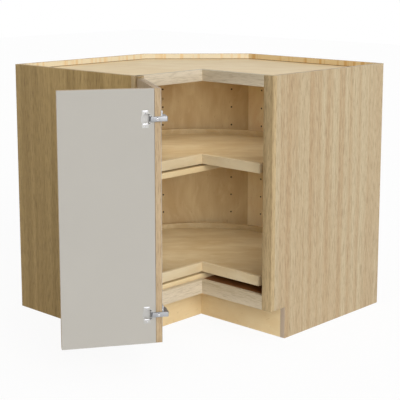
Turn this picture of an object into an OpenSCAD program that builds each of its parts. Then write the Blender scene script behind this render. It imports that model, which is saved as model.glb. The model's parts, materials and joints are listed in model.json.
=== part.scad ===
// Corner base cabinet with two pie-cut carousel trays and a bi-fold door that stands open.
// Origin: floor level, back corner of the left end panel, on the left wall. +Z is up,
// the left wall is the plane x = 0 and the other wall is the plane y = cabinet_w.

/* [Cabinet] */
// Length of the cabinet along each wall
cabinet_w = 914.4; // [850:0.1:980]
// Depth of each arm from its wall to the face of the frame
arm_depth = 609.6; // [585:0.1:640]
// Height from the floor to the top edge
cabinet_h = 876.3; // [830:0.1:920]
// Thickness of the end panels
side_t = 19.05; // [15:0.05:22]
// Thickness of the two wall panels and the diagonal back
back_t = 12.7; // [9:0.1:16]
// Thickness of the bottom panel and the two boards that carry the trays
board_t = 19.05; // [15:0.05:22]
// Thickness of the top deck
deck_t = 12.7; // [9:0.1:19]
// How far the deck lies below the top edge of the cabinet
deck_drop = 20; // [10:1:30]
// How far the lower board stands above the bottom rails
lower_board_rise = 14; // [0:0.5:18]
// Height of the toe space
toe_h = 107; // [90:1:125]
// Depth of the toe space behind the face of the frame
toe_depth = 73; // [50:1:90]
// Thickness of the toe-kick boards
toe_t = 12.7; // [9:0.1:19]

/* [Face frame] */
// Thickness of the frame
frame_t = 19.05; // [16:0.05:22]
// Width of each stile
stile_w = 38.1; // [32:0.1:50]
// Height of the top rails
top_rail_h = 38.1; // [35:0.1:60]
// Height of the bottom rails
bottom_rail_h = 47; // [40:1:65]

/* [Trays] */
// Clearance between a turning tray and the end panels
tray_gap = 31.75; // [20:0.25:40]
// Clearance between a turning tray and the diagonal back
tray_back_gap = 21; // [12:1:30]
// Clearance between the straight lips and the back of the frame
lip_gap = 3; // [2:0.5:6]
// Thickness of a tray's round base
tray_base_t = 12; // [9:0.5:16]
// Thickness of the bent rim
rim_t = 6.35; // [4:0.05:9]
// Thickness of the two straight lips
lip_t = 12.7; // [9:0.1:16]
// Height of the rim and lips from the underside of the tray
lip_h = 33; // [28:0.1:50]
// Height of the upper tray's underside above the floor
upper_tray_z = 553; // [480:1:600]

/* [Tray bearings] */
// Height of a bearing, which is also the gap under its tray
bearing_h = 7.5; // [7:0.5:10]
// Outside diameter of a bearing
bearing_d = 220; // [180:1:229]
// Diameter of the hole through a bearing
bearing_hole_d = 100; // [80:1:120]
// Thickness of each bearing plate
race_plate_t = 2.4; // [2:0.1:2.6]
// Diameter of a ball
ball_d = 5; // [4:0.1:5]
// Number of balls in a bearing
ball_count = 16; // [8:1:24]
// Thickness of the ball cage
cage_t = 1.2; // [1:0.1:1.5]

/* [Board cleats] */
// Height of the cleats under the upper board
cleat_h = 38.1; // [25:0.1:40]
// Thickness of the cleats
cleat_t = 19.05; // [15:0.05:22]
// How far the ends of the cleats stay out of the corners
cleat_inset = 38.1; // [25:0.1:60]

/* [Shelf pin holes] */
// Diameter of a shelf pin hole
pin_hole_d = 5; // [4:0.1:6]
// Depth of a shelf pin hole
pin_hole_depth = 9; // [6:0.5:10]
// Height of the lowest row of holes
pin_first_z = 246; // [220:1:280]
// Distance from row to row
pin_pitch = 70.2; // [60:0.1:72]
// Number of rows
pin_rows = 8; // [4:1:8]
// Distance between the two columns in the diagonal back
pin_diagonal_span = 270; // [200:1:300]
// Distance of the columns in the wall panels from the diagonal back
pin_side_offset = 73; // [50:1:120]

/* [Door leaves] */
// Thickness of each leaf with its backing
leaf_t = 19.05; // [16:0.05:22]
// Thickness of the grey backing on the inside of a leaf
backing_t = 1; // [0.8:0.1:1.5]
// Gap between the closed leaves and the frame
door_gap = 2; // [1.5:0.1:3]
// Gap between the free leaf's end and the outer face of the hinge-side leaf
corner_gap = 1; // [0.8:0.1:2]
// How far the hinge-side leaf stops short of the free leaf's inner face
butt_gap = 0.5; // [0.3:0.1:2]
// Distance from the closed leaves to the sides of the cabinet
side_reveal = 4; // [3:0.5:6]
// Distance from the closed leaves to the top edge and to the toe space
end_reveal = 5; // [4.6:0.1:8]
// How far the door stands open
open_angle = 123.5; // [100:0.5:125]

/* [Door pivots] */
// Distance of the frame's pivot pin from the hinge edge of the leaf
pivot_inset = 5.5; // [5:0.1:5.6]
// Thickness of the pivot plates
pivot_plate_t = 2; // [1.5:0.1:2.2]
// Diameter of the pivot pins
pivot_pin_d = 3.5; // [3:0.1:3.8]
// Distance of the second pin from the first, away from the frame
link_step_out = 5; // [4.8:0.1:5.2]
// Distance of the second pin from the first, along the leaf
link_step_along = 3; // [2.6:0.1:3]
// Radius of the link round each pin
link_eye_r = 4; // [3.5:0.1:4.2]
// How far the tab over the leaf is wider than the link on each side
tab_margin = 1.5; // [1:0.1:2]
// Length of the pivot plate along the stile
frame_plate_l = 30; // [26:1:34]
// Length of the pivot plate along the leaf
leaf_plate_l = 42; // [30:1:60]

/* [Bi-fold hinges] */
// Distance of each hinge from the top and bottom of the leaves
hinge_end = 88; // [70:1:120]
// Diameter of the cup bored into the free leaf
cup_d = 35; // [30:1:40]
// Depth of the cup
cup_depth = 11.5; // [10:0.1:12.5]
// Distance of the cup's edge from the end of the leaf
cup_edge = 4.5; // [3.5:0.1:6]
// Wall of the cup
cup_wall = 1.2; // [1:0.1:1.5]
// How far the cup's round rim laps over the edge of its bore
cup_rim = 1; // [0.6:0.1:1.5]
// Thickness of the cup's flange
flange_t = 1.2; // [1:0.1:1.4]
// Height of the cup's flange
flange_h = 52; // [48:1:60]
// Width of the cup's flange
flange_w = 20; // [14:1:22]
// How far the middle of the flange lies behind the middle of the cup
flange_back = 5; // [3:0.5:7]
// Diameter of the hinge pin
hinge_pin_d = 3; // [2.5:0.1:3.4]
// Length of the hinge pin
hinge_pin_l = 22; // [20:1:23]
// Distance of the hinge pin from the end of the free leaf
hinge_pin_in = 11; // [10.5:0.1:12]
// Depth of the hinge pin below the inner face of the free leaf
hinge_pin_deep = 2; // [1.8:0.1:2.4]
// Height of the hinge arm
arm_h = 14; // [12:0.5:15]
// Room above and below the arm in its cup
arm_play = 1; // [0.6:0.1:1.4]
// Metal round the pin's hole in the arm
eye_wall = 1.7; // [1.4:0.1:2]
// Thickness of the hinge arm where it crosses the corner
arm_t = 5.5; // [4.5:0.1:6.5]
// How far the arm stands proud of the inner face of the hinge-side leaf
arm_proud = 18; // [14:0.5:19]
// Length of the arm along the hinge-side leaf
arm_l = 44; // [38:1:60]
// Thickness of the plate under the arm
mount_plate_t = 4.5; // [3.5:0.1:5.5]
// How far the plate stops short of the end of the leaf
plate_short = 6; // [4:0.5:10]
// Height of the plate's two screw wings together
wing_h = 44; // [40:1:54]
// Width of a wing
wing_w = 11; // [9:0.5:14]
// Thickness of a wing
wing_t = 5.5; // [4.6:0.1:7]
// Distance of the upper wing from the end of the leaf
upper_wing_in = 9; // [7:0.5:14]
// Distance of the lower wing from the end of the leaf
lower_wing_in = 25; // [22:0.5:26]
// Diameter of the screw that clamps the arm on its plate
arm_screw_d = 4; // [3:0.5:5]
// Distance of that screw from the end of the leaf
arm_screw_in = 33; // [27:0.5:34]

/* [Hidden] */
$fn = 96;
plate_edge = 1;   // wood left beside a pivot plate in its seat
run_gap = 0.3;    // gap between curved faces, and between faces that slide past each other
pin_gap = 0.05;   // radial play of a pin in its hole
eps = 1;          // how far a cutter runs past the face it cuts

// Plan positions. The cabinet is the same on both sides of its diagonal, so the right-hand
// pieces are the left-hand ones in the other_arm() mirror.
notch_y = cabinet_w - arm_depth;             // face of the right arm, and inner corner
frame_back = arm_depth - frame_t;            // back plane of the left arm's frame
tray_c = cabinet_w / 2;                      // centre of both trays, from each wall
tray_r = tray_c - side_t - tray_gap;         // outer radius of a tray
corner_cut = cabinet_w - sqrt(2) * (tray_r + tray_back_gap + back_t);
mitre = back_t * tan(22.5);                  // step of the 45 degree joint in the back
lip_x = frame_back - lip_gap;                // front plane of the left lip
lip_y = cabinet_w - lip_x;                   // front plane of the right lip

// Heights
lower_board_top = toe_h + bottom_rail_h + lower_board_rise;
lower_board_z = lower_board_top - board_t;
bottom_z = lower_board_z - board_t;
lower_tray_z = lower_board_top + bearing_h;
upper_board_z = upper_tray_z - bearing_h - board_t;
deck_z = cabinet_h - deck_drop - deck_t;
leaf_z0 = toe_h + end_reveal;
leaf_z1 = cabinet_h - end_reveal;

// Closed door, in plan. The free leaf's end butts against the hinge-side leaf.
leaf_in = arm_depth + door_gap;              // inner face of the hinge-side leaf
leaf_out = leaf_in + leaf_t;                 // its outer face
corner_y = cabinet_w - leaf_out;             // outer face of the free leaf
free_leaf_w = corner_y - corner_gap - side_reveal;
hinge_leaf_w = cabinet_w - leaf_in - butt_gap - side_reveal;
pivot = [leaf_in + leaf_t / 2, side_reveal + pivot_inset];
link_pin = pivot + [link_step_out, link_step_along];
link_t = end_reveal - pivot_plate_t - 2 * run_gap;
cup_x = cup_edge + cup_d / 2;                // middle of the cup from the end of the leaf
fold_pin = [leaf_out + corner_gap + hinge_pin_in, cabinet_w - leaf_in - hinge_pin_deep];
hinge_heights = [leaf_z0 + hinge_end, leaf_z1 - hinge_end];

// Bearing, measured from the board that carries it
race_r = (bearing_d + bearing_hole_d) / 4;
ball_z = bearing_h / 2;
groove_r = ball_d / 2 + run_gap;

echo(pivot = pivot, link_pin = swung_point(link_pin), fold_pin = swung_point(fold_pin));
echo(tray_c = tray_c, tray_r = tray_r, corner_cut = corner_cut);

// Colours of the finishes
birch = [0.87, 0.77, 0.58];
oak = [0.72, 0.62, 0.47];
grey = [0.75, 0.73, 0.70];
steel = [0.80, 0.80, 0.80];

// ---------- helpers ----------

// The right-hand side: the mirror image in the cabinet's diagonal.
module other_arm() {
    translate([cabinet_w, cabinet_w, 0]) mirror([1, 1, 0]) children();
}

// A flat board with this outline, from height z.
module board(points, z, t) {
    translate([0, 0, z]) linear_extrude(t) polygon(points);
}

// Inside outline of the L-shaped body up to a front plane on both arms.
function inside_outline(front) = [
    [back_t, side_t],
    [front, side_t],
    [front, cabinet_w - front],
    [cabinet_w - side_t, cabinet_w - front],
    [cabinet_w - side_t, cabinet_w - back_t],
    [corner_cut + mitre, cabinet_w - back_t],
    [back_t, cabinet_w - corner_cut - mitre]
];

// Where a point of the closed door stands with the door open.
function swung_point(p) = let (d = p - pivot) pivot + [
    d.x * cos(open_angle) + d.y * sin(open_angle),
    d.y * cos(open_angle) - d.x * sin(open_angle)
];

// The closed door swung open about the frame's pivot pins.
module swung() {
    translate([pivot.x, pivot.y, 0]) rotate(-open_angle)
        translate([-pivot.x, -pivot.y, 0]) children();
}

// The same piece at the bottom of the door, as the mirror image of the one at the top.
module both_ends() {
    children();
    translate([0, 0, cabinet_h + toe_h]) mirror([0, 0, 1]) children();
}

// ---------- carcass ----------

module end_panel() {
    // the front edge steps back to the toe-kick board below the frame
    translate([0, side_t, 0]) rotate([90, 0, 0]) linear_extrude(side_t) polygon([
        [0, 0], [arm_depth - toe_depth, 0], [arm_depth - toe_depth, toe_h],
        [frame_back, toe_h], [frame_back, cabinet_h], [0, cabinet_h]
    ]);
}

module left_end_panel() { color(oak) end_panel(); }

module right_end_panel() { color(oak) other_arm() end_panel(); }

module pin_holes(depth) {
    // one column of blind holes, drilled along +x from the plane x = 0
    for (row = [0 : pin_rows - 1])
        translate([-eps, 0, pin_first_z + row * pin_pitch])
            rotate([0, 90, 0]) cylinder(d = pin_hole_d, h = depth + eps);
}

module wall_panel() {
    difference() {
        board([
            [0, side_t], [back_t, side_t],
            [back_t, cabinet_w - corner_cut - mitre], [0, cabinet_w - corner_cut]
        ], 0, cabinet_h);
        translate([back_t, cabinet_w - corner_cut - pin_side_offset, 0])
            mirror([1, 0, 0]) pin_holes(pin_hole_depth);
    }
}

module left_back_panel() { color(birch) wall_panel(); }

module right_back_panel() { color(birch) other_arm() wall_panel(); }

module diagonal_back_panel() {
    face = (cabinet_w * sqrt(2) - corner_cut * sqrt(2)) / 2 - back_t;
    color(birch) difference() {
        board([
            [0, cabinet_w - corner_cut], [back_t, cabinet_w - corner_cut - mitre],
            [corner_cut + mitre, cabinet_w - back_t], [corner_cut, cabinet_w]
        ], 0, cabinet_h);
        // the diagonal's own axes: x runs towards the room corner, y along the panel
        translate([cabinet_w / 2, cabinet_w / 2, 0]) rotate(135)
            for (side = [-1, 1])
                translate([face, side * pin_diagonal_span / 2, 0]) pin_holes(pin_hole_depth);
    }
}

module top_deck() {
    color(birch) board(inside_outline(frame_back), deck_z, deck_t);
}

module bottom_panel() {
    color(birch) board(inside_outline(frame_back), bottom_z, board_t);
}

// A rectangular board across the left arm and the corner, trimmed by the diagonal back.
module support_board(z) {
    color(birch) board([
        [back_t, side_t], [lip_x, side_t], [lip_x, cabinet_w - back_t],
        [corner_cut + mitre, cabinet_w - back_t], [back_t, cabinet_w - corner_cut - mitre]
    ], z, board_t);
}

module lower_support_board() { support_board(lower_board_z); }

module upper_support_board() { support_board(upper_board_z); }

module upper_board_cleats() {
    low = upper_board_z - cleat_h;
    color(birch) {
        // on the end panel, on the left wall panel and on the right wall panel
        translate([back_t + cleat_inset, side_t, low])
            cube([lip_x - back_t - 2 * cleat_inset, cleat_t, cleat_h]);
        translate([back_t, side_t + cleat_inset, low])
            cube([cleat_t, cabinet_w - corner_cut - side_t - 2 * cleat_inset - mitre, cleat_h]);
        translate([corner_cut + cleat_inset, cabinet_w - back_t - cleat_t, low])
            cube([lip_x - corner_cut - cleat_inset, cleat_t, cleat_h]);
    }
}

module toe_kick() {
    front = arm_depth - toe_depth;
    board([
        [front - toe_t, side_t], [front, side_t],
        [front, cabinet_w - front], [front - toe_t, cabinet_w - front + toe_t]
    ], 0, bottom_z);
}

module left_toe_kick() { color(birch) toe_kick(); }

module right_toe_kick() { color(birch) other_arm() toe_kick(); }

// ---------- face frame ----------

// The part of a pivot plate that is let into the end of the stile.
module stile_plate(t) {
    translate([frame_back + plate_edge, side_reveal / 2, cabinet_h - pivot_plate_t])
        cube([frame_t - plate_edge, frame_plate_l, t]);
}

module stile() {
    translate([frame_back, 0, toe_h]) cube([frame_t, stile_w, cabinet_h - toe_h]);
}

module left_stile() {
    color(oak) difference() {
        stile();
        both_ends() stile_plate(pivot_plate_t + eps);
    }
}

module right_stile() { color(oak) other_arm() stile(); }

// A rail from the stile to the inner corner, where the two arms' rails are mitred.
module rail(z, h) {
    board([
        [frame_back, stile_w], [arm_depth, stile_w],
        [arm_depth, notch_y], [frame_back, notch_y + frame_t]
    ], z, h);
}

module left_top_rail() { color(oak) rail(cabinet_h - top_rail_h, top_rail_h); }

module right_top_rail() { color(oak) other_arm() rail(cabinet_h - top_rail_h, top_rail_h); }

module left_bottom_rail() { color(oak) rail(toe_h, bottom_rail_h); }

module right_bottom_rail() { color(oak) other_arm() rail(toe_h, bottom_rail_h); }

// ---------- trays ----------

// Everything behind the two straight lips, in plan.
module behind_lips(set_back) {
    reach = 2 * cabinet_w;
    difference() {
        translate([-reach / 2, -reach / 2]) square(2 * reach);
        translate([lip_x - set_back, lip_y + set_back - reach]) square(reach);
    }
}

module tray_disc(r) { translate([tray_c, tray_c]) circle(r, $fn = 180); }

module tray_base(z) {
    color(birch) translate([0, 0, z]) linear_extrude(tray_base_t) intersection() {
        tray_disc(tray_r - rim_t - run_gap);
        behind_lips(lip_t);
    }
}

module tray_rim(z) {
    color(birch) translate([0, 0, z]) linear_extrude(lip_h) intersection() {
        difference() {
            tray_disc(tray_r);
            tray_disc(tray_r - rim_t);
        }
        behind_lips(lip_t);
    }
}

module tray_lip(z) {
    color(birch) translate([0, 0, z]) linear_extrude(lip_h) intersection() {
        tray_disc(tray_r);
        polygon([[lip_x, 0], [lip_x, lip_y], [lip_x - lip_t, lip_y + lip_t], [lip_x - lip_t, 0]]);
    }
}

module upper_tray_base() { tray_base(upper_tray_z); }
module upper_tray_rim() { tray_rim(upper_tray_z); }
module upper_tray_left_lip() { tray_lip(upper_tray_z); }
module upper_tray_right_lip() { other_arm() tray_lip(upper_tray_z); }

module lower_tray_base() { tray_base(lower_tray_z); }
module lower_tray_rim() { tray_rim(lower_tray_z); }
module lower_tray_left_lip() { tray_lip(lower_tray_z); }
module lower_tray_right_lip() { other_arm() tray_lip(lower_tray_z); }

// ---------- ball bearings under the trays ----------

// One plate of a bearing: a flat ring with a round groove for the balls.
module race_plate(z) {
    color(steel) translate([tray_c, tray_c, z]) rotate_extrude($fn = 120) difference() {
        translate([bearing_hole_d / 2, 0])
            square([(bearing_d - bearing_hole_d) / 2, race_plate_t]);
        translate([race_r, ball_z]) circle(groove_r, $fn = 48);
    }
}

module race_plate_over(z) {
    translate([0, 0, 2 * z + bearing_h]) mirror([0, 0, 1]) race_plate(z);
}

module at_balls(z) {
    for (n = [0 : ball_count - 1])
        translate([tray_c, tray_c, z + ball_z]) rotate(n * 360 / ball_count)
            translate([race_r, 0, 0]) children();
}

module ball_cage(z) {
    color(steel) difference() {
        translate([tray_c, tray_c, z + ball_z - cage_t / 2]) difference() {
            cylinder(r = race_r + ball_d, h = cage_t);
            translate([0, 0, -eps]) cylinder(r = race_r - ball_d, h = cage_t + 2 * eps);
        }
        at_balls(z) cylinder(r = groove_r, h = 2 * cage_t, center = true, $fn = 24);
    }
}

module balls(z) { color(steel) at_balls(z) sphere(d = ball_d, $fn = 24); }

module upper_bearing_base() { race_plate(upper_tray_z - bearing_h); }
module upper_ball_cage() { ball_cage(upper_tray_z - bearing_h); }
module upper_balls() { balls(upper_tray_z - bearing_h); }
module upper_bearing_top() { race_plate_over(upper_tray_z - bearing_h); }

module lower_bearing_base() { race_plate(lower_board_top); }
module lower_ball_cage() { ball_cage(lower_board_top); }
module lower_balls() { balls(lower_board_top); }
module lower_bearing_top() { race_plate_over(lower_board_top); }

// ---------- door pivots ----------

// A flat link or tab with round ends about two points.
module oblong(a, b, r, t) {
    run = b - a;
    translate([a.x, a.y, 0]) rotate(atan2(run.y, run.x)) {
        cylinder(r = r, h = t);
        translate([norm(run), 0, 0]) cylinder(r = r, h = t);
        translate([0, -r, 0]) cube([norm(run), 2 * r, t]);
    }
}

// Let into the top of the stile, with a tab over the leaf that holds the first pin.
module frame_pivot_plates() {
    tab_r = link_eye_r + tab_margin;
    color(steel) both_ends() {
        stile_plate(pivot_plate_t);
        translate([0, 0, cabinet_h - pivot_plate_t])
            oblong([arm_depth - tab_r, pivot.y], pivot, tab_r, pivot_plate_t);
        translate([pivot.x, pivot.y, cabinet_h - end_reveal + run_gap])
            cylinder(d = pivot_pin_d, h = end_reveal - pivot_plate_t);
    }
}

module pivot_links() {
    hole_r = pivot_pin_d / 2 + pin_gap;
    color(steel) swung() both_ends()
        translate([0, 0, leaf_z1 + run_gap]) difference() {
            oblong(pivot, link_pin, link_eye_r, link_t);
            for (p = [pivot, link_pin])
                translate([p.x, p.y, -eps]) cylinder(r = hole_r, h = link_t + 2 * eps);
        }
}

// Seat of the pivot plate in the edge of the leaf.
module leaf_plate(t) {
    translate([leaf_in + backing_t, side_reveal, leaf_z1 - pivot_plate_t])
        cube([leaf_t - backing_t - plate_edge, leaf_plate_l, t]);
}

module leaf_pivot_plates() {
    color(steel) swung() both_ends() {
        leaf_plate(pivot_plate_t);
        translate([link_pin.x, link_pin.y, leaf_z1 - pivot_plate_t])
            cylinder(d = pivot_pin_d, h = pivot_plate_t + run_gap + link_t);
    }
}

// ---------- door leaves ----------

// The hinge-side leaf lies over the left arm, with its core outside and its backing inside.
module hinge_side_leaf() {
    color(oak) swung() difference() {
        translate([leaf_in + backing_t, side_reveal, leaf_z0])
            cube([leaf_t - backing_t, hinge_leaf_w, leaf_z1 - leaf_z0]);
        both_ends() leaf_plate(pivot_plate_t + eps);
    }
}

module hinge_side_backing() {
    color(grey) swung() translate([leaf_in, side_reveal, leaf_z0])
        cube([backing_t, hinge_leaf_w, leaf_z1 - leaf_z0]);
}

// Places the children at each hinge height, with y pointing out of the inner face of the
// free leaf, x along that leaf from its end, and z up.
module at_cups() {
    for (z = hinge_heights)
        translate([leaf_out + corner_gap, cabinet_w - leaf_in, z]) children();
}

module cup_bore(r, depth, over) {
    translate([cup_x, -depth, 0]) rotate([-90, 0, 0]) cylinder(r = r, h = depth + over);
}

module free_side_leaf() {
    color(oak) swung() difference() {
        translate([leaf_out + corner_gap, corner_y, leaf_z0])
            cube([free_leaf_w, leaf_t - backing_t, leaf_z1 - leaf_z0]);
        at_cups() cup_bore(cup_d / 2 + pin_gap, cup_depth, eps);
    }
}

module free_side_backing() {
    color(grey) swung() difference() {
        translate([leaf_out + corner_gap, cabinet_w - leaf_in - backing_t, leaf_z0])
            cube([free_leaf_w, backing_t, leaf_z1 - leaf_z0]);
        at_cups() cup_bore(cup_d / 2 + pin_gap, cup_depth, eps);
    }
}

// ---------- bi-fold hinges ----------

module bifold_cups() {
    cheek_t = (hinge_pin_l - arm_h) / 2 - arm_play;
    cheek_w = 3 * hinge_pin_d;
    floor_y = -cup_depth + cup_wall;
    color(steel) swung() at_cups() difference() {
        union() {
            difference() {
                union() {
                    cup_bore(cup_d / 2, cup_depth, 0);
                    cup_bore(cup_d / 2 + cup_rim, 0, flange_t);
                    translate([cup_x + flange_back - flange_w / 2, 0, -flange_h / 2])
                        cube([flange_w, flange_t, flange_h]);
                }
                cup_bore(cup_d / 2 - cup_wall, -floor_y, flange_t + eps);
            }
            // two cheeks on the floor of the cup hold the ends of the pin
            intersection() {
                cup_bore(cup_d / 2, cup_depth, 0);
                for (side = [-1, 1])
                    translate([hinge_pin_in - cheek_w / 2, floor_y,
                               side * (arm_h / 2 + arm_play + cheek_t / 2) - cheek_t / 2])
                        cube([cheek_w, -floor_y - run_gap, cheek_t]);
            }
        }
        hinge_pin();
    }
}

// The pin is a tight fit in the cup's cheeks, and the arm turns on it.
module hinge_pin() {
    translate([hinge_pin_in, -hinge_pin_deep, -hinge_pin_l / 2])
        cylinder(d = hinge_pin_d, h = hinge_pin_l);
}

module bifold_pins() { color(steel) swung() at_cups() hinge_pin(); }

// The arm is fixed to the hinge-side leaf, crosses the open corner and dips into the cup.
module bifold_arms() {
    eye_r = hinge_pin_d / 2 + eye_wall;
    low = flange_t + run_gap;                // clears the flange of the cup
    high = low + arm_t;
    face = -corner_gap - leaf_t;             // inner face of the hinge-side leaf
    back = face - arm_proud;
    under = face - mount_plate_t;
    end = -butt_gap - arm_l;
    bevel = arm_t / 2;
    color(steel) swung() at_cups() difference() {
        union() {
            translate([0, 0, -arm_h / 2]) linear_extrude(arm_h) polygon([
                [hinge_pin_in + eye_r, low], [hinge_pin_in, high],
                [back + bevel, high], [back, high - bevel],
                [back, end + bevel], [back + bevel, end], [under, end],
                [under, low - arm_t], [under + arm_t, low]
            ]);
            translate([hinge_pin_in, -hinge_pin_deep, -arm_h / 2])
                cylinder(r = eye_r, h = arm_h);
            translate([hinge_pin_in - eye_r, -hinge_pin_deep, -arm_h / 2])
                cube([2 * eye_r, hinge_pin_deep + low, arm_h]);
        }
        translate([hinge_pin_in, -hinge_pin_deep, -arm_h])
            cylinder(r = hinge_pin_d / 2 + pin_gap, h = 2 * arm_h);
        arm_screw(eps);
    }
}

// A wing of the plate above the arm, standing a little prouder than the plate beyond the arm.
module wing(distance) {
    face = -corner_gap - leaf_t;
    rise = arm_h / 2 + run_gap;
    translate([face, -butt_gap - distance - wing_w, 0]) {
        translate([-mount_plate_t, 0, 0]) cube([mount_plate_t, wing_w, wing_h / 2]);
        translate([-wing_t, 0, rise]) cube([wing_t, wing_w, wing_h / 2 - rise]);
    }
}

// The plate that carries the arm, with a wing for a screw above it and one below, farther in.
module bifold_mount_plates() {
    face = -corner_gap - leaf_t;
    color(steel) swung() at_cups() difference() {
        union() {
            translate([face - mount_plate_t, -butt_gap - arm_l, -arm_h / 2])
                cube([mount_plate_t, arm_l - plate_short, arm_h]);
            wing(upper_wing_in);
            mirror([0, 0, 1]) wing(lower_wing_in);
        }
        arm_screw(eps);
    }
}

// The screw, or the hole for it where the cutter runs over the face of the arm.
module arm_screw(over) {
    hole_gap = over > 0 ? pin_gap : 0;
    translate([-corner_gap - leaf_t - arm_proud - over, -butt_gap - arm_screw_in, 0])
        rotate([0, 90, 0])
            cylinder(r = arm_screw_d / 2 + hole_gap, h = arm_proud + over, $fn = 24);
}

module bifold_screws() {
    color(steel) swung() at_cups() arm_screw(0);
}

// ---------- pieces ----------

left_end_panel();
right_end_panel();
left_back_panel();
right_back_panel();
diagonal_back_panel();
top_deck();
bottom_panel();
lower_support_board();
upper_support_board();
upper_board_cleats();
left_stile();
right_stile();
left_top_rail();
right_top_rail();
left_bottom_rail();
right_bottom_rail();
left_toe_kick();
right_toe_kick();
upper_bearing_base();
upper_ball_cage();
upper_balls();
upper_bearing_top();
lower_bearing_base();
lower_ball_cage();
lower_balls();
lower_bearing_top();
upper_tray_base();
upper_tray_rim();
upper_tray_left_lip();
upper_tray_right_lip();
lower_tray_base();
lower_tray_rim();
lower_tray_left_lip();
lower_tray_right_lip();
frame_pivot_plates();
pivot_links();
leaf_pivot_plates();
hinge_side_leaf();
hinge_side_backing();
free_side_leaf();
free_side_backing();
bifold_cups();
bifold_pins();
bifold_arms();
bifold_mount_plates();
bifold_screws();
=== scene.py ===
# A corner base cabinet, dressed piece by piece in the order in which it is put together:
# the panels, the face frame, the trays on their bearings, and the bi-fold door.
import json

import bmesh
import bpy
import numpy as np
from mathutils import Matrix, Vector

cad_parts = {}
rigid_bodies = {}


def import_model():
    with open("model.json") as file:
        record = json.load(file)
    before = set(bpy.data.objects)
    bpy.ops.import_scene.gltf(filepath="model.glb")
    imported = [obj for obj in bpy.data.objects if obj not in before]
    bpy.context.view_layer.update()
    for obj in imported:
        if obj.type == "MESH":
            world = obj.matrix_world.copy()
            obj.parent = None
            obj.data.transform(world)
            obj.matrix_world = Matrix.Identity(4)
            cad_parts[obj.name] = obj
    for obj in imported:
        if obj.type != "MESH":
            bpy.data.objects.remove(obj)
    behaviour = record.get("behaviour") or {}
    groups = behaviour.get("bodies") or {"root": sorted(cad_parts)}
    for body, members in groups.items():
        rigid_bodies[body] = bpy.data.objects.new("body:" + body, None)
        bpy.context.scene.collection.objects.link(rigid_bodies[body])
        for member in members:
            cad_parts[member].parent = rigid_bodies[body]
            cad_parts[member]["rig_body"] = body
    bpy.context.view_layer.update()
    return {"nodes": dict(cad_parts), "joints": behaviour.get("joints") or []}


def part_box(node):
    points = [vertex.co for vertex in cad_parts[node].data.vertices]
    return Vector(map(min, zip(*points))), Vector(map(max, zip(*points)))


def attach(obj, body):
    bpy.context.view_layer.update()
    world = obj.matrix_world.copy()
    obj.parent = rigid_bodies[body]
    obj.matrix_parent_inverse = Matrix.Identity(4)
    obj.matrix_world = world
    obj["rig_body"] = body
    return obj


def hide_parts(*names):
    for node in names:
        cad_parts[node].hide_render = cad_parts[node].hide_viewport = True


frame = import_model()

# ---------------------------------------------------------------------------------------
# End panels. Plywood with a straight-grained oak face outside and birch inside. The foot
# steps back under the frame, and its front edge is left as raw, pale board.


def linear(red, green, blue):
    """A colour as it looks on screen, 0 to 255, in linear light: ((c + 0.055) / 1.055) ** 2.4."""
    level = np.array([red, green, blue]) / 255
    return [*((level + 0.055) / 1.055) ** 2.4, 1.0]


def add(tree, kind, inputs=None, **settings):
    """One node of a material, with its settings, and its inputs as values or as the sockets that
    feed them."""
    made = tree.nodes.new(kind)
    for key, value in settings.items():
        setattr(made, key, value)
    for key, value in (inputs or {}).items():
        if isinstance(value, bpy.types.NodeSocket):
            tree.links.new(value, made.inputs[key])
        else:
            made.inputs[key].default_value = value
    return made


def streaks(tree, place, grain, across, length, detail):
    """Noise whose spots are `across` wide and `length` long along the grain axis: the place is
    multiplied by one over those sizes before the noise is read."""
    size = [across] * 3
    size[grain] = length
    scale = [1 / side for side in size]
    scaled = add(tree, "ShaderNodeVectorMath", {0: place, 1: scale}, operation="MULTIPLY")
    noise = add(tree, "ShaderNodeTexNoise", {"Vector": scaled.outputs[0], "Scale": 1.0, "Detail": detail})
    return noise.outputs["Fac"]


def ramp(tree, value, low, high, first=0.0, last=1.0):
    """Straight line from `first` where the value is `low` to `last` where it is `high`, and flat
    outside."""
    inputs = {0: value, 1: low, 2: high, 3: first, 4: last}
    return add(tree, "ShaderNodeMapRange", inputs, clamp=True).outputs[0]


def mix(tree, share, first, last):
    """Colour between two others, by a share from 0 to 1."""
    return add(tree, "ShaderNodeMix", {0: share, 6: first, 7: last}, data_type="RGBA").outputs[2]


def product(tree, first, second):
    """Two values multiplied."""
    return add(tree, "ShaderNodeMath", {0: first, 1: second}, operation="MULTIPLY").outputs[0]


def new_material(name, roughness, specular=0.3):
    """A plain surface: its material, its tree, its shader and the object's own coordinates."""
    made = bpy.data.materials.new(name)
    made.use_nodes = True
    tree = made.node_tree
    shader = tree.nodes["Principled BSDF"]
    shader.inputs["Roughness"].default_value = roughness
    shader.inputs["Specular IOR Level"].default_value = specular
    return made, tree, shader, add(tree, "ShaderNodeTexCoord").outputs["Object"]


def bent(tree, place, width, amount):
    """The place moved by a slow noise: place + amount * (noise - 0.5)."""
    noise = add(tree, "ShaderNodeTexNoise", {"Vector": place, "Scale": 1 / width, "Detail": 1.0})
    inputs = {0: noise.outputs["Color"], 1: [0.5] * 3}
    middle = add(tree, "ShaderNodeVectorMath", inputs, operation="SUBTRACT")
    inputs = {0: middle.outputs[0], 1: [amount] * 3, 2: place}
    return add(tree, "ShaderNodeVectorMath", inputs, operation="MULTIPLY_ADD").outputs[0]


def figured(tree, grain, ground, marks):
    """A ground tone with marks of noise laid over it in turn. Each row gives the place, width, length
    and detail of the noise, the levels of it at which the mark starts and is full, the least and
    the most that it covers, and its tone. Returns the colour, and each mark's strength by name."""
    colour = ground
    strengths = {}
    for name, (place, width, length, detail, starts, full, least, most, tone) in marks.items():
        noise = streaks(tree, place, grain, width, length, detail)
        strengths[name] = ramp(tree, noise, starts, full)
        colour = mix(tree, ramp(tree, strengths[name], 0, 1, least, most), colour, tone)
    return colour, strengths


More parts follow.
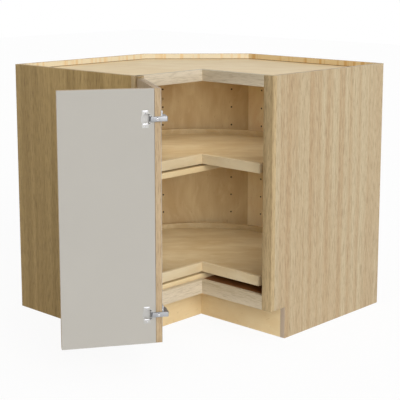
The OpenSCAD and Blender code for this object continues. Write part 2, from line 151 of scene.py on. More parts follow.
def oak_colour(tree, place, grain, tones):
    """Oak cut on the quarter, in a pale, a dark and a pore tone, all drawn out along the grain.
    Returns the colour and the surface's height."""
    pale, dark, pore = tones
    wavy = bent(tree, place, width=0.40, amount=0.006)
    colour, strengths = figured(tree, grain, pale, {
        "broad bands": (wavy, 0.034, 2.6, 4.0, 0.38, 0.62, 0.0, 0.62, dark),
        "yearly rings": (wavy, 0.0080, 0.90, 3.0, 0.36, 0.64, 0.0, 0.28, dark),
        "short dashes": (wavy, 0.0026, 0.038, 2.0, 0.50, 0.66, 0.0, 0.46, pore),
        "pale flecks": (place, 0.0027, 0.034, 2.0, 0.52, 0.68, 0.0, 0.50, pale),
        "pores": (place, 0.0010, 0.015, 1.0, 0.58, 0.72, 0.0, 0.35, pore)})
    inputs = {0: strengths["yearly rings"], 1: strengths["pores"]}
    return colour, add(tree, "ShaderNodeMath", inputs, operation="SUBTRACT").outputs[0]


def birch_colour(tree, place, grain, tones):
    """Birch peeled from the log, in a pale, a dark and a fleck tone. Returns the colour and the
    surface's height."""
    pale, dark, fleck = tones
    wavy = bent(tree, place, width=0.20, amount=0.085)
    colour, strengths = figured(tree, grain, pale, {
        "wide soft clouds": (wavy, 0.080, 0.20, 2.0, 0.34, 0.66, 0.10, 0.70, dark),
        "arched rings": (wavy, 0.024, 0.085, 4.0, 0.36, 0.68, 0.0, 0.32, dark),
        "fine fibres": (place, 0.0030, 0.09, 3.0, 0.32, 0.68, 0.0, 0.20, dark),
        "pale patches": (wavy, 0.026, 0.060, 3.0, 0.54, 0.72, 0.0, 0.50, pale),
        "brown flecks": (wavy, 0.010, 0.020, 1.0, 0.68, 0.80, 0.0, 0.25, fleck)})
    return colour, strengths["fine fibres"]


def finish_surface(tree, shader, colour, height, depth):
    """Gives a surface its colour, and raises it by up to `depth`, in metres, where the height is 1."""
    tree.links.new(colour, shader.inputs["Base Color"])
    bump = add(tree, "ShaderNodeBump", {"Height": height, "Distance": depth, "Strength": 0.6})
    tree.links.new(bump.outputs[0], shader.inputs["Normal"])


X, Y, Z = 0, 1, 2
DOUBLES = 1e-6             # metres within which two points are one
FLAT = np.radians(0.5)     # turn below which two faces are one flat stretch
CORNER = np.radians(30)    # turn above which an edge is eased
ROUND = 0.0010             # radius of the eased edges


def merged(node):
    """A CAD node's mesh with its doubles merged and its flat stretches joined."""
    shape = bmesh.new()
    shape.from_mesh(frame["nodes"][node].data)
    bmesh.ops.remove_doubles(shape, verts=shape.verts, dist=DOUBLES)
    bmesh.ops.dissolve_limit(shape, angle_limit=FLAT, verts=shape.verts, edges=shape.edges)
    return shape


def new_piece(name, shape, finish, body):
    """A smooth piece of one finish that rides with a body. The shape it is made from is used up."""
    mesh = bpy.data.meshes.new(name)
    shape.to_mesh(mesh)
    shape.free()
    mesh.polygons.foreach_set("use_smooth", np.ones(len(mesh.polygons), bool))
    mesh.materials.append(finish)
    piece = bpy.data.objects.new(name, mesh)
    bpy.context.scene.collection.objects.link(piece)
    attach(piece, body)
    return piece


def eased_copy(node, name, finish, radius=ROUND):
    """A board with its edges rounded: the node's own mesh, merged, then bevelled in three steps
    along every edge that turns more than CORNER."""
    piece = new_piece(name, merged(node), finish, frame["nodes"][node]["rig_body"])
    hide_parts(node)
    bevel = piece.modifiers.new("eased edges", "BEVEL")
    bevel.width = radius
    bevel.segments = 3
    bevel.limit_method = "ANGLE"
    bevel.angle_limit = CORNER
    bevel.harden_normals = True


STEP = 0.0001              # half of the step from one finish to the next on one board
RAW = 0.0002               # depth of the raw finish on an edge
OAK_ROUGHNESS = 0.55
OAK_RELIEF = 0.0002        # height of the oak's grain
FACE_SHARE = 0.8           # share of the panel's thickness that shows oak on the edges
cabinet_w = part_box("right_end_panel")[1].x
side_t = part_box("left_end_panel")[1].y
toe_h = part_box("left_stile")[0].z
foot_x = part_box("left_toe_kick")[1].x
INNER_BIRCH = linear(232, 213, 170), linear(204, 172, 122), linear(160, 118, 74)
FOOT_EDGE = linear(192, 173, 152)


def end_panel_finish(name, side, foot, tones):
    """Oak outside and birch inside, told apart by the distance across the panel, with a raw foot
    edge. Side and foot each give an axis, the place along it, and the sign of the way to the
    panel's inside or to its front."""
    made, tree, shader, place = new_material(name, OAK_ROUGHNESS)
    split = add(tree, "ShaderNodeSeparateXYZ", {0: place}).outputs
    outside, height = oak_colour(tree, place, Z, tones)
    inside = birch_colour(tree, place, Z, INNER_BIRCH)[0]
    axis, middle, sign = side
    inner = ramp(tree, split[axis], middle - STEP * sign, middle + STEP * sign)
    colour = mix(tree, inner, outside, inside)
    axis, front, sign = foot
    raw_edge = ramp(tree, split[axis], front - 2 * RAW * sign, front - RAW * sign)
    low = ramp(tree, split[Z], toe_h + STEP, toe_h - STEP)
    colour = mix(tree, product(tree, raw_edge, low), colour, FOOT_EDGE)
    finish_surface(tree, shader, colour, height, OAK_RELIEF)
    return made


# The left panel's tones are darker and browner than the right one's: painted shade of the side that faces
# away from the key lamp.
SHADED_LEFT_OAK = linear(184, 155, 101), linear(139, 112, 62), linear(97, 74, 35)
RIGHT_OAK = linear(203, 187, 154), linear(180, 148, 110), linear(133, 104, 71)
shaded_left_oak = end_panel_finish("oak_left_panel_painted_shade", (Y, FACE_SHARE * side_t, 1), (X, foot_x, 1), SHADED_LEFT_OAK)
right_oak = end_panel_finish("oak_right_panel", (X, cabinet_w - FACE_SHARE * side_t, -1),
                             (Y, cabinet_w - foot_x, -1), RIGHT_OAK)
eased_copy("left_end_panel", "left_end_board", shaded_left_oak)
eased_copy("right_end_panel", "right_end_board", right_oak)

# ---------------------------------------------------------------------------------------
# Back panels, deck and bottom. Birch plywood, whose sheets show along the edges. The backs
# are drilled for shelf pins, so their CAD bodies stay and only take the finish, and a thin
# rim round each hole is painted dark: painted shade at the hole's edge.

SHEETS = 9                       # sheets in the thickness of a board
PALE_LINE = 0.06                 # share of a sheet that its pale line takes
FACE_ON, EDGE_ON = 0.35, 0.25    # how squarely a face, and an edge, look along the thickness
BIRCH_ROUGHNESS = 0.5
BIRCH_RELIEF = 0.0001            # height of the birch's fibres
PALE_SHEET, BROWN_SHEET = linear(226, 203, 162), linear(172, 136, 92)


def layered(tree, colour, depth, thickness, layers, across):
    """Plywood edge: where `across` is 1, brown sheets through the thickness, each of which starts
    with a thin, paler line."""
    turn = product(tree, depth, layers / thickness)
    sheet = add(tree, "ShaderNodeMath", {0: turn}, operation="FRACT").outputs[0]
    brown = ramp(tree, sheet, 0, PALE_LINE, first=0.5, last=1.0)
    return mix(tree, across, colour, mix(tree, brown, PALE_SHEET, BROWN_SHEET))


def turned_place(tree, place, degrees):
    """The place turned about the upright axis, so that grain which runs along x lies at an angle."""
    turned = add(tree, "ShaderNodeMapping", {"Vector": place}, vector_type="POINT")
    turned.inputs["Rotation"].default_value = (0, 0, np.radians(-degrees))
    return turned.outputs[0]


def plywood(name, grain, thick_axis, low, thickness, tones, turn=0.0, roughness=BIRCH_ROUGHNESS):
    """Birch faces, with the plywood's sheets on what faces sideways to its thickness. Returns the
    material, its tree, shader and place, its colour, and the distance from its low face."""
    made, tree, shader, place = new_material(name, roughness)
    colour, fibres = birch_colour(tree, turned_place(tree, place, turn) if turn else place, grain, tones)
    direction = [float(part) for part in thick_axis]
    inputs = {0: add(tree, "ShaderNodeTexCoord").outputs["Normal"], 1: direction}
    facing = add(tree, "ShaderNodeVectorMath", inputs, operation="DOT_PRODUCT").outputs["Value"]
    facing = add(tree, "ShaderNodeMath", {0: facing}, operation="ABSOLUTE").outputs[0]
    inputs = {0: place, 1: direction}
    depth = add(tree, "ShaderNodeVectorMath", inputs, operation="DOT_PRODUCT").outputs["Value"]
    depth = add(tree, "ShaderNodeMath", {0: depth, 1: low}, operation="SUBTRACT").outputs[0]
    edge = ramp(tree, facing, FACE_ON, EDGE_ON)
    colour = layered(tree, colour, depth, thickness, SHEETS, edge)
    finish_surface(tree, shader, colour, fibres, BIRCH_RELIEF)
    return made, tree, shader, place, colour, depth


CREASE_SHADE_H = 0.0022       # height of the band of painted shade along the deck's crease
CREASE_SHADE_SHARE = 0.85     # how much of the painted shade's tone the band takes
SKIN = 0.0003          # depth under a face from which on a drilled hole's wall is painted dark as shade
CREASE_SHADE_TONE = linear(112, 78, 44)
HOLE_SHADE_TONE = linear(26, 14, 6)
back_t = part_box("left_back_panel")[1].x
top_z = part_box("left_back_panel")[1].z
deck_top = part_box("top_deck")[1].z


def back_finish(name, thick_axis, low, tones, striped_tones):
    """Plywood of a back panel. Above the deck the sheet is paler, with upright orange stripes, and
    painted shade darkens a thin band along the crease with the deck. Below it, what lies under
    either face is a drilled hole's wall, painted dark as the shade in the hole."""
    made, tree, shader, place, colour, depth = plywood(name, Z, thick_axis, low, back_t, tones)
    height = add(tree, "ShaderNodeSeparateXYZ", {0: place}).outputs[Z]
    noise = streaks(tree, place, Z, across=0.016, length=3.0, detail=2.0)
    striped = mix(tree, ramp(tree, noise, low=0.50, high=0.66), *striped_tones)
    above = ramp(tree, height, deck_top, deck_top + STEP)
    below_edge = ramp(tree, height, top_z - RAW, top_z - RAW - STEP)
    colour = mix(tree, product(tree, above, below_edge), colour, striped)
    # Painted shade: a thin dark band where the back panel meets the deck.
    crease_shade_top = deck_top + CREASE_SHADE_H
    joint = ramp(tree, height, crease_shade_top, crease_shade_top + 2 * STEP, CREASE_SHADE_SHARE, 0.0)
    colour = mix(tree, product(tree, joint, above), colour, CREASE_SHADE_TONE)
    limits = ((depth, SKIN, 2 * SKIN), (depth, back_t - SKIN, back_t - 2 * SKIN),
              (height, deck_top, deck_top - SKIN), (height, toe_h, toe_h + SKIN))
    # The walls of the drilled holes are painted near black: painted shade inside the holes.
    in_hole_shade = 1.0
    for value, outside, within in limits:  # a place is in a hole where it is within every limit
        in_hole_shade = product(tree, ramp(tree, value, outside, within), in_hole_shade)
    tree.links.new(mix(tree, in_hole_shade, colour, HOLE_SHADE_TONE), shader.inputs["Base Color"])
    return made


def finish_node(node, finish):
    """Puts a finish on a CAD body that keeps its shape."""
    mesh = frame["nodes"][node].data
    mesh.materials.clear()
    mesh.materials.append(finish)


diagonal = np.array([-1, 1, 0]) / np.sqrt(2)
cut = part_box("right_back_panel")[0].x
BACK_BIRCH = linear(234, 215, 171), linear(202, 170, 121), linear(160, 122, 78)
# The right back panel faces away from the key lamp. Its birch below the deck is given paler tones, which
# are painted light, and its stripes above the deck darker, oranger ones, which are painted shade.
LIT_BACK_BIRCH_RIGHT = linear(255, 242, 204), linear(232, 202, 156), linear(190, 152, 106)
STRIPED = linear(226, 213, 183), linear(224, 196, 149)
SHADED_STRIPED_RIGHT = linear(226, 200, 150), linear(210, 168, 104)
finish_node("left_back_panel", back_finish("birch_left_back", (1, 0, 0), 0, BACK_BIRCH, STRIPED))
finish_node("right_back_panel", back_finish(
    "birch_right_back", (0, 1, 0), cabinet_w - back_t, LIT_BACK_BIRCH_RIGHT, SHADED_STRIPED_RIGHT))
finish_node("diagonal_back_panel", back_finish(
    "birch_diagonal_back", diagonal, (cabinet_w - cut) / np.sqrt(2) - back_t, BACK_BIRCH, STRIPED))

PIN_DEPTH, HOLE_R = 0.009, 0.0025      # depth and radius of the shelf pin holes
RIM_W, RIM_RISE = 0.0009, 0.00015      # width and height of their rims
RIM_SIDES, RIM_STEPS = 24, 8           # points round a rim, and round its section
BOTTOM_AREA = 0.0001                   # square metres; a flat face under this may be a hole's bottom
BOTTOM_FACING = 0.9                    # how squarely it has to face inward


def computed_piece(name, points, faces, finish, body):
    """A closed piece from its points and faces, which are turned outward."""
    draft = bpy.data.meshes.new(name + "_draft")
    draft.from_pydata(points.tolist(), [], faces)
    shape = bmesh.new()
    shape.from_mesh(draft)
    bpy.data.meshes.remove(draft)
    bmesh.ops.recalc_face_normals(shape, faces=shape.faces)
    new_piece(name, shape, finish, body)


def hole_rims(name, node, inward, finish):
    """Dark rims of painted shade round a panel's drilled holes, whose flat bottoms are found in its
    mesh. Each is a ring of radius HOLE_R + RIM_W / 2 * (1 + cos s) that stands RIM_RISE * sin s
    proud, for s round its section."""
    shape = merged(node)
    middles = [np.array(face.calc_center_bounds()) + PIN_DEPTH * inward for face in shape.faces
               if face.calc_area() < BOTTOM_AREA and np.dot(face.normal, inward) > BOTTOM_FACING]
    shape.free()
    turn = 2 * np.pi * np.arange(RIM_SIDES)[:, None] / RIM_SIDES
    section = 2 * np.pi * np.arange(RIM_STEPS) / RIM_STEPS
    radius = HOLE_R + RIM_W / 2 * (1 + np.cos(section))
    upright = np.array([0, 0, 1.0])
    level = np.cross(upright, inward)
    ring = ((radius * np.cos(turn))[..., None] * level + (radius * np.sin(turn))[..., None] * upright
            + (RIM_RISE * np.sin(section) + 0 * turn)[..., None] * inward).reshape(-1, 3)
    corner = np.arange(len(ring)).reshape(RIM_SIDES, RIM_STEPS)
    after = np.roll(corner, -1, axis=0)
    beside = np.roll(corner, -1, axis=1)
    quads = np.stack([corner, after, np.roll(after, -1, axis=1), beside], axis=-1).reshape(-1, 4)
    points = np.concatenate([middle + ring for middle in middles])
    faces = np.concatenate([quads + len(ring) * copy for copy in range(len(middles))]).tolist()
    computed_piece(name, points, faces, finish, frame["nodes"][node]["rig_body"])


# The rims are painted dark brown: painted shade at the edge of each hole.
hole_rim_shade = new_material("painted_hole_rim_shade", roughness=0.7)[0]
hole_rim_shade.node_tree.nodes["Principled BSDF"].inputs["Base Color"].default_value = linear(74, 46, 24)
hole_rims("left_hole_rims", "left_back_panel", np.array([1.0, 0, 0]), hole_rim_shade)
hole_rims("right_hole_rims", "right_back_panel", np.array([0, -1.0, 0]), hole_rim_shade)
hole_rims("diagonal_hole_rims", "diagonal_back_panel", -diagonal, hole_rim_shade)

DECK_BIRCH = linear(242, 222, 182), linear(228, 200, 152), linear(214, 174, 118)
# The bottom panel's tones are dark brown: painted shade of the dark space under the lower tray.
SHADED_BOTTOM_BIRCH = linear(160, 108, 62), linear(136, 88, 46), linear(104, 66, 34)
for node, tones in (("top_deck", DECK_BIRCH), ("bottom_panel", SHADED_BOTTOM_BIRCH)):
    low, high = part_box(node)
    board_finish = plywood("birch_" + node, X, (0, 0, 1), low.z, high.z - low.z, tones, turn=40.0)[0]
    eased_copy(node, node + "_board", board_finish)

# ---------------------------------------------------------------------------------------
# Boards that carry the trays, their cleats and the toe-kicks. Solid-edged birch, planed
# smooth, with the grain along each strip.


def solid_birch(name, grain, tones):
    """One piece of birch, the same all round, with the grain along one axis."""
    made, tree, shader, place = new_material(name, BIRCH_ROUGHNESS)
    colour, fibres = birch_colour(tree, place, grain, tones)
    finish_surface(tree, shader, colour, fibres, BIRCH_RELIEF)
    return made


STRIP_BIRCH = linear(238, 220, 180), linear(224, 198, 150), linear(196, 158, 106)
TOE_BIRCH = linear(238, 218, 176), linear(226, 198, 148), linear(180, 138, 86)
for node, grain, tones in (
        ("lower_support_board", Y, STRIP_BIRCH), ("upper_support_board", Y, STRIP_BIRCH),
        ("upper_board_cleats", Y, STRIP_BIRCH),
        ("left_toe_kick", Y, TOE_BIRCH), ("right_toe_kick", X, TOE_BIRCH)):
    eased_copy(node, node + "_wood", solid_birch("birch_" + node, grain, tones))

# ---------------------------------------------------------------------------------------
# Face frame. Solid oak stiles and rails, with the grain along each, mitred in the corner.
# The rails are paler and greyer than the panels, as the wood of the frame is.


def oak(name, grain, tones):
    """A whole piece of oak, of one board."""
    made, tree, shader, place = new_material(name, OAK_ROUGHNESS)
    colour, height = oak_colour(tree, place, grain, tones)
    finish_surface(tree, shader, colour, height, OAK_RELIEF)
    return made


LEFT_RAIL_OAK = linear(225, 211, 187), linear(203, 187, 159), linear(172, 154, 126)
# The right rails face away from the key lamp and take darker tones than the left ones: painted shade.
SHADED_RIGHT_RAIL_OAK = linear(211, 196, 170), linear(189, 173, 143), linear(161, 142, 113)
STILE_OAK = linear(204, 180, 138), linear(166, 139, 96), linear(119, 94, 57)
for side, across, rail_tones in (("left", Y, LEFT_RAIL_OAK), ("right", X, SHADED_RIGHT_RAIL_OAK)):
    rail_oak = oak(f"oak_{side}_rails", across, rail_tones)
    stile_oak = oak(f"oak_{side}_stile", Z, STILE_OAK)
    eased_copy(f"{side}_top_rail", f"{side}_top_rail_wood", rail_oak)
    eased_copy(f"{side}_bottom_rail", f"{side}_bottom_rail_wood", rail_oak)
    eased_copy(f"{side}_stile", f"{side}_stile_wood", stile_oak)

# ---------------------------------------------------------------------------------------
# Trays. Each is a birch ply disc with a wedge cut out, a rim of thin ply bent round it,
# and two straight lips that are mitred where they meet.


def joint_record(name):
    """What the frame says about one joint."""
    return next(joint for joint in frame["joints"] if joint["name"] == name)


RIM_SHEETS = 5                 # sheets in the thickness of the bent rim
rim_t = 0.00635                # thickness of the bent rim
SIDE_ON, TOP_ON = 0.6, 0.8     # how squarely a side of the rim, and an edge of it, look up or down
tray_centre = joint_record("upper_tray_spin")["pos_m"]
tray_r = tray_centre[X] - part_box("upper_tray_rim")[0].x
TRAY_BIRCH = linear(219, 202, 164), linear(188, 160, 112), linear(164, 124, 74)
LIP_BIRCH = linear(226, 211, 178), linear(212, 189, 148), linear(188, 154, 107)


def rim_finish(name):
    """Bent plywood: the grain runs level round the rim, and the sheets show on its edges, where the
    distance from the tray's axis tells them apart."""
    made, tree, shader, place = new_material(name, BIRCH_ROUGHNESS)
    colour, fibres = birch_colour(tree, place, X, TRAY_BIRCH)
    inputs = {0: place, 1: [tray_centre[X], tray_centre[Y], 0]}
    centred = add(tree, "ShaderNodeVectorMath", inputs, operation="SUBTRACT").outputs[0]
    plan = add(tree, "ShaderNodeVectorMath", {0: centred, 1: [1, 1, 0]}, operation="MULTIPLY")
    radius = add(tree, "ShaderNodeVectorMath", {0: plan.outputs[0]}, operation="LENGTH").outputs["Value"]
    depth = add(tree, "ShaderNodeMath", {0: radius, 1: tray_r - rim_t}, operation="SUBTRACT").outputs[0]
    facing = add(tree, "ShaderNodeTexCoord").outputs["Normal"]
    up = add(tree, "ShaderNodeSeparateXYZ", {0: facing}).outputs[Z]
    up = add(tree, "ShaderNodeMath", {0: up}, operation="ABSOLUTE").outputs[0]
    colour = layered(tree, colour, depth, rim_t, RIM_SHEETS, ramp(tree, up, SIDE_ON, TOP_ON))
    finish_surface(tree, shader, colour, fibres, BIRCH_RELIEF)
    return made


for level in ("upper", "lower"):
    low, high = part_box(f"{level}_tray_base")
    base_birch = plywood(f"birch_{level}_tray_base", X, (0, 0, 1), low.z, high.z - low.z, TRAY_BIRCH,
                         turn=45.0, roughness=0.42)[0]
    eased_copy(f"{level}_tray_base", f"{level}_tray_disc", base_birch)
    eased_copy(f"{level}_tray_rim", f"{level}_tray_bent_rim", rim_finish(f"birch_{level}_rim"))
    for side, across in (("left", Y), ("right", X)):
        lip_birch = solid_birch(f"birch_{level}_{side}_lip", across, LIP_BIRCH)
        eased_copy(f"{level}_tray_{side}_lip", f"{level}_tray_{side}_lip_strip", lip_birch)

# ---------------------------------------------------------------------------------------
# Tray bearings. Two pressed rings of zinc-plated steel with a row of balls between them,
# which a cage holds apart.

WORN = 0.82               # share of its tone that worn plating keeps
PLATE_RELIEF = 0.00002    # height of the marks in the plating


def plated_steel(name, tone, roughness, metallic=1.0):
    """Plated steel: bright metal whose gloss is broken a little by fine marks."""
    made, tree, shader, place = new_material(name, roughness, specular=0.5)
    shader.inputs["Metallic"].default_value = metallic
    noise = add(tree, "ShaderNodeTexNoise", {"Vector": place, "Scale": 420.0, "Detail": 3.0}).outputs["Fac"]
    worn = [WORN * part for part in tone[:3]] + [1.0]
    finish_surface(tree, shader, mix(tree, noise, tone, worn), noise, PLATE_RELIEF)
    return made


bearing_steel = plated_steel("plated_bearing_steel", linear(214, 214, 216), roughness=0.35)
for level in ("upper", "lower"):
    for part in ("bearing_base", "ball_cage", "balls", "bearing_top"):
        finish_node(f"{level}_{part}", bearing_steel)

# ---------------------------------------------------------------------------------------
# Door leaves. Two slabs, oak outside and round the edges, with a smooth, painted grey sheet
# on the inside of each. The bi-fold hinges join them.

PAINT_RELIEF = 0.00004    # height of the painted sheet's texture
LEAF_ROUND = 0.0008       # radius of the leaves' edges
LEAF_OAK = linear(200, 177, 143), linear(170, 142, 107), linear(128, 101, 68)


def backing(name, colour, marks):
    """A painted sheet: one colour, with faint marks in it and a little texture."""
    made, tree, shader, place = new_material(name, roughness=0.6, specular=0.25)
    noise = add(tree, "ShaderNodeTexNoise", {"Vector": place, "Scale": 9.0, "Detail": 4.0}).outputs["Fac"]
    speckle = add(tree, "ShaderNodeTexNoise", {"Vector": place, "Scale": 900.0, "Detail": 2.0})
    finish_surface(tree, shader, mix(tree, noise, colour, marks), speckle.outputs["Fac"], PAINT_RELIEF)
    return made


grey_sheet = backing("grey_backing_sheet", linear(182, 178, 170), linear(179, 175, 167))
for side in ("hinge_side", "free_side"):
    leaf_oak = oak(f"oak_{side}_leaf", Z, LEAF_OAK)
    eased_copy(f"{side}_leaf", f"{side}_leaf_wood", leaf_oak, LEAF_ROUND)
    finish_node(f"{side}_backing", grey_sheet)

# ---------------------------------------------------------------------------------------
# Door pivots. Small plates and links of yellow-passivated steel, let into the wood at the
# top and bottom of the door.

pivot_zinc = plated_steel("yellow_zinc", linear(164, 142, 104), roughness=0.5)
for node in ("frame_pivot_plates", "pivot_links", "leaf_pivot_plates"):
    finish_node(node, pivot_zinc)

# ---------------------------------------------------------------------------------------
# Bi-fold hinges. Nickel-plated: a pressed cup with a ribbed flange in the free leaf, and a
# cranked arm that is clamped on a plate with two screw wings on the other leaf. The screws
# have crossed recesses.

HINGE_ROUND = 0.0006  # radius of the pressed edges
nickel = plated_steel("satin_nickel", linear(168, 169, 172), roughness=0.42, metallic=0.6)
pale_nickel = plated_steel("pale_nickel", linear(190, 188, 184), roughness=0.48, metallic=0.5)
bright_nickel = plated_steel("bright_nickel", linear(224, 224, 226), roughness=0.30, metallic=0.8)
# A near-black plating, used as painted shade in recesses and holes.
recess_shade_steel = plated_steel("painted_recess_shade", linear(70, 62, 60), roughness=0.6, metallic=0.4)
finish_node("bifold_pins", bright_nickel)
finish_node("bifold_screws", bright_nickel)
finish_node("bifold_cups", pale_nickel)
eased_copy("bifold_arms", "bifold_cranked_arms", nickel, HINGE_ROUND)
eased_copy("bifold_mount_plates", "bifold_winged_plates", nickel, HINGE_ROUND)

# With the door closed, the free leaf lies along x and its inner face looks along y. At rest the
# door stands open, turned back by the whole of its swing.
swing = joint_record("door_swing")["range_deg"][1]
along = np.array([np.cos(np.radians(-swing)), np.sin(np.radians(-swing)), 0])
outward = np.array([-along[Y], along[X], 0])
upward = np.array([0, 0, 1.0])
pin_along, pin_in = 0.011, 0.002    # the fold pin's distance from the leaf's end, and into the leaf
fold_pin = np.array(joint_record("leaf_fold")["pos_m"])
leaf_corner = (fold_pin - pin_along * along + pin_in * outward) * [1, 1, 0]
flange_half_h = 0.026               # half the height of a cup's flange
cups_low, cups_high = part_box("bifold_cups")
hinge_middles = cups_low.z + flange_half_h, cups_high.z - flange_half_h


def at_hinges(distance, out, *heights):
    """The same points of both hinges. Each is given by its distance along the free leaf from that
    leaf's end, out of the leaf's inner face, and above the middle of the hinge."""
    return [leaf_corner + distance * along + out * outward + (middle + height) * upward
            for height in heights for middle in hinge_middles]


def shell_faces(rings, sides):
    """Faces of a closed shell: a fan from the first point, quads from ring to ring, a fan to the
    last."""
    around = np.arange(sides)
    after = (around + 1) % sides
    ring = 1 + sides * np.arange(rings - 1)[:, None]
    quads = np.stack([ring + around, ring + after, ring + sides + after, ring + sides + around], axis=-1)
    last_ring = 1 + sides * (rings - 1)
    first_fan = np.stack([0 * around, 1 + after, 1 + around], axis=-1)
    last_fan = np.stack([last_ring + around, last_ring + after, 0 * around + last_ring + sides], axis=-1)
    return quads.reshape(-1, 4).tolist() + first_fan.tolist() + last_fan.tolist()


HEAD_RINGS, HEAD_SIDES = 16, 48
HEAD_FOOT = 0.0002                   # depth by which a head reaches into what it sits on
SUNK = 2 / 3                         # depth of a recess, as a share of the head's rise
SLOT_END, SLOT_FADE = 0.62, 0.08     # where a recess ends, and how softly, as shares of the outline
SLOT_SOFT = 0.3                      # how softly its sides rise, as a share of its width


def pressed_heads(name, body, finish, places, out, width_way, half_w, half_h, rise, power=2.0, slot_w=0.0):
    """Raised heads on a face, of half a width along one direction and half a height across it. At a
    share t of the way from the middle to the outline |u| ** power + |v| ** power = 1, the head
    stands rise * sqrt(1 - t ** 4) proud. With a slot width it is sunk by up to SUNK of the rise
    within half that width of two crossed lines, out to SLOT_END of the outline."""
    turn = 2 * np.pi * np.arange(HEAD_SIDES) / HEAD_SIDES
    edge = (np.abs(np.cos(turn)) ** power + np.abs(np.sin(turn)) ** power) ** (-1 / power)
    share = np.linspace(0, 1, HEAD_RINGS + 1)[1:, None]
    u = share * edge * np.cos(turn)
    v = share * edge * np.sin(turn)
    proud = rise * np.sqrt(1 - share ** 4 + 0 * u)
    middle = rise
    if slot_w:
        near = np.minimum(np.abs(u), np.abs(v)) * half_w
        far = np.maximum(np.abs(u), np.abs(v))
        beside = np.clip((slot_w / 2 - near) / (SLOT_SOFT * slot_w) + 0.5, 0, 1)
        proud = proud - SUNK * rise * beside * np.clip((SLOT_END - far) / SLOT_FADE, 0, 1)
        middle = (1 - SUNK) * rise
    flat = np.stack([u * half_w, v * half_h, proud], axis=-1).reshape(-1, 3)
    foot = flat[-HEAD_SIDES:] * [1, 1, 0] - [0, 0, HEAD_FOOT]
    flat = np.concatenate([[[0, 0, middle]], flat, foot, [[0, 0, -HEAD_FOOT]]])
    axes = np.stack([width_way, np.cross(out, width_way), out])
    points = np.concatenate([place + flat @ axes for place in places])
    one = shell_faces(HEAD_RINGS + 1, HEAD_SIDES)
    faces = [[corner + copy * len(flat) for corner in face] for copy in range(len(places)) for face in one]
    computed_piece(name, points, faces, finish, body)


SLOT_W = 0.4                         # width of a recess, as a share of the head's radius
DISC_R, DISC_OUT = 0.6, 0.4          # radius and height of the painted-shade disc, as shares of the head's


def crossed_screws(name, body, places, out, width_way, radius, rise):
    """Screw heads with crossed recesses, and a dark disc of painted shade that lies just over the
    recesses' bottom, so that it shows in them alone."""
    pressed_heads(name, body, bright_nickel, places, out, width_way, radius, radius, rise,
                  slot_w=SLOT_W * radius)
    floors = [place + DISC_OUT * rise * out for place in places]
    pressed_heads(name + "_recess_shades", body, recess_shade_steel, floors, out, width_way,
                  DISC_R * radius, DISC_R * radius, rise=1e-5)


flange_x, flange_out = 0.027, 0.0012         # middle of the cup's flange, and its outer face
rib_heights = 0.0232, -0.0145                # pressed ribs above and below the cup
flange_screw_heights = 0.0180, -0.0215       # a screw under each rib
arm_x, arm_out = -0.008, 0.0070              # the arm's side screw, and the outer face that it is in
side_screw_height, side_hole_height = -0.001, 0.0045
arm_back, clamp_out = -0.03805, -0.0335      # outer face of the arm on the other leaf, and its screw
wing_back = -0.02555                         # outer face of the wings
wing_height = 0.01465                        # distance of the wings' screws from the middle
upper_wing_out, lower_wing_out = -0.0150, -0.0310

# The ribs take the bright nickel, paler than the flange they are pressed in: a painted highlight along
# them.
pressed_heads("flange_ribs", "free_leaf", bright_nickel, at_hinges(flange_x, flange_out, *rib_heights),
              outward, along, half_w=0.0085, half_h=0.0020, rise=0.0012, power=5.0)
crossed_screws("flange_screws", "free_leaf", at_hinges(flange_x, flange_out, *flange_screw_heights),
               outward, along, radius=0.0026, rise=0.0010)
crossed_screws("arm_side_screws", "hinge_leaf", at_hinges(arm_x, arm_out, side_screw_height),
               outward, along, radius=0.0036, rise=0.0011)
# The arm's side holes are dark discs: painted shade where a hole stands.
pressed_heads("arm_side_hole_shades", "hinge_leaf", recess_shade_steel, at_hinges(arm_x, arm_out, side_hole_height),
              outward, along, half_w=0.0014, half_h=0.0014, rise=0.0002)
crossed_screws("arm_clamp_screws", "hinge_leaf", at_hinges(arm_back, clamp_out, 0.0),
               -along, upward, radius=0.0036, rise=0.0014)
wing_places = (at_hinges(wing_back, upper_wing_out, wing_height)
               + at_hinges(wing_back, lower_wing_out, -wing_height))
crossed_screws("wing_screws", "hinge_leaf", wing_places, -along, upward, radius=0.0036, rise=0.0014)

# ---------------------------------------------------------------------------------------
# Studio: a pale paper floor and a white room. A soft key lamp stands at the front right and
# a wide one high in front. A square lamp glows under the deck, and one under the upper board.

floor_half = 12.0
floor_glow, glow_share = 1.035, 0.88    # chosen so that the seen floor is white and keeps a shadow
ambient = 0.32                          # strength of the room's light on the cabinet
PAPER = linear(236, 236, 236)
WHITE = [1, 1, 1, 1]


def seen_rays(tree):
    """1 for rays that show the studio, straight or in metal or glass, and 0 for those that light."""
    rays = add(tree, "ShaderNodeLightPath").outputs
    inputs = {0: rays["Is Camera Ray"], 1: rays["Is Glossy Ray"]}
    seen = add(tree, "ShaderNodeMath", inputs, operation="MAXIMUM").outputs[0]
    inputs = {0: seen, 1: rays["Is Transmission Ray"]}
    return add(tree, "ShaderNodeMath", inputs, operation="MAXIMUM").outputs[0]


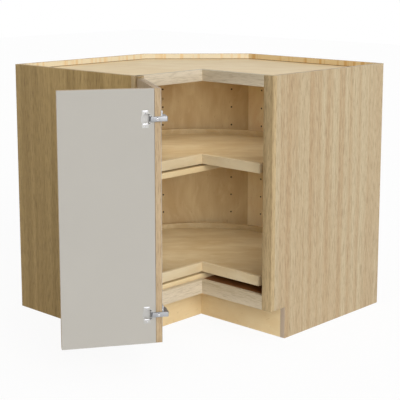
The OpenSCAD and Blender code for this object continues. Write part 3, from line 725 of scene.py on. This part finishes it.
floor_mesh = bpy.data.meshes.new("floor")
corners = floor_half * np.array([[-1, -1, 0], [1, -1, 0], [1, 1, 0], [-1, 1, 0]])
floor_mesh.from_pydata(corners.tolist(), [], [[0, 1, 2, 3]])
floor = bpy.data.objects.new("floor", floor_mesh)
bpy.context.scene.collection.objects.link(floor)
paper, tree, diffuse = new_material("white_paper", roughness=1.0, specular=0.0)[:3]
diffuse.inputs["Base Color"].default_value = PAPER
glow = add(tree, "ShaderNodeEmission", {"Color": WHITE, "Strength": floor_glow})
share = product(tree, seen_rays(tree), glow_share)
blend = add(tree, "ShaderNodeMixShader", {0: share, 1: diffuse.outputs[0], 2: glow.outputs[0]})
tree.links.new(blend.outputs[0], tree.nodes["Material Output"].inputs["Surface"])
floor_mesh.materials.append(paper)

world = bpy.data.worlds.new("white_room")
bpy.context.scene.world = world
world.use_nodes = True
tree = world.node_tree
background = tree.nodes["Background"]
background.inputs["Color"].default_value = WHITE
strength = ramp(tree, seen_rays(tree), 0, 1, ambient, 1.0)
tree.links.new(strength, background.inputs["Strength"])


def lamp(name, kind, energy, place=(0, 0, 0), azimuth=0.0, elevation=90.0):
    """A lamp that shines from an azimuth, counted from +x towards +y, and a height above the
    horizon, both in degrees."""
    made = bpy.data.lights.new(name, kind)
    made.energy = energy
    holder = bpy.data.objects.new(name, made)
    bpy.context.scene.collection.objects.link(holder)
    holder.location = place
    holder.rotation_euler = np.radians((90 - elevation, 0, 90 + azimuth))
    return made, holder


lamp("soft_key", "SUN", energy=1.9, azimuth=-26, elevation=20)[0].angle = np.radians(40)
lamp("soft_top", "SUN", energy=0.65, azimuth=-40, elevation=70)[0].angle = np.radians(90)

glow_x, glow_y = 0.40, 0.50
glow_gap = 0.006                   # distance of a glowing lamp from the board above it
glow_spread = np.radians(136)      # narrow enough that no light leaves at the closed door's corner
for name, power, over in (("upper_glow", 0.71, "top_deck"), ("lower_glow", 0.59, "upper_support_board")):
    place = (glow_x, glow_y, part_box(over)[0].z - glow_gap)
    light, holder = lamp(name, "AREA", power, place)
    light.size = 0.5
    light.spread = glow_spread
    holder.visible_camera = False
    holder.visible_glossy = False

# ---------------------------------------------------------------------------------------
# Camera, at the photograph's viewing angle, which was fitted to the cabinet's corners, with
# the little shift that its framing needs.

lens = bpy.data.cameras.new("camera")
lens.lens = 98.16
lens.sensor_width = 36.0
lens.shift_y = -0.125
camera = bpy.data.objects.new("camera", lens)
bpy.context.scene.collection.objects.link(camera)
camera.location = (3.0812, -2.3234, 1.2210)
camera.rotation_euler = np.radians((80.323, 0, 43.358))
bpy.context.scene.camera = camera
bpy.context.scene.view_settings.view_transform = "Standard"
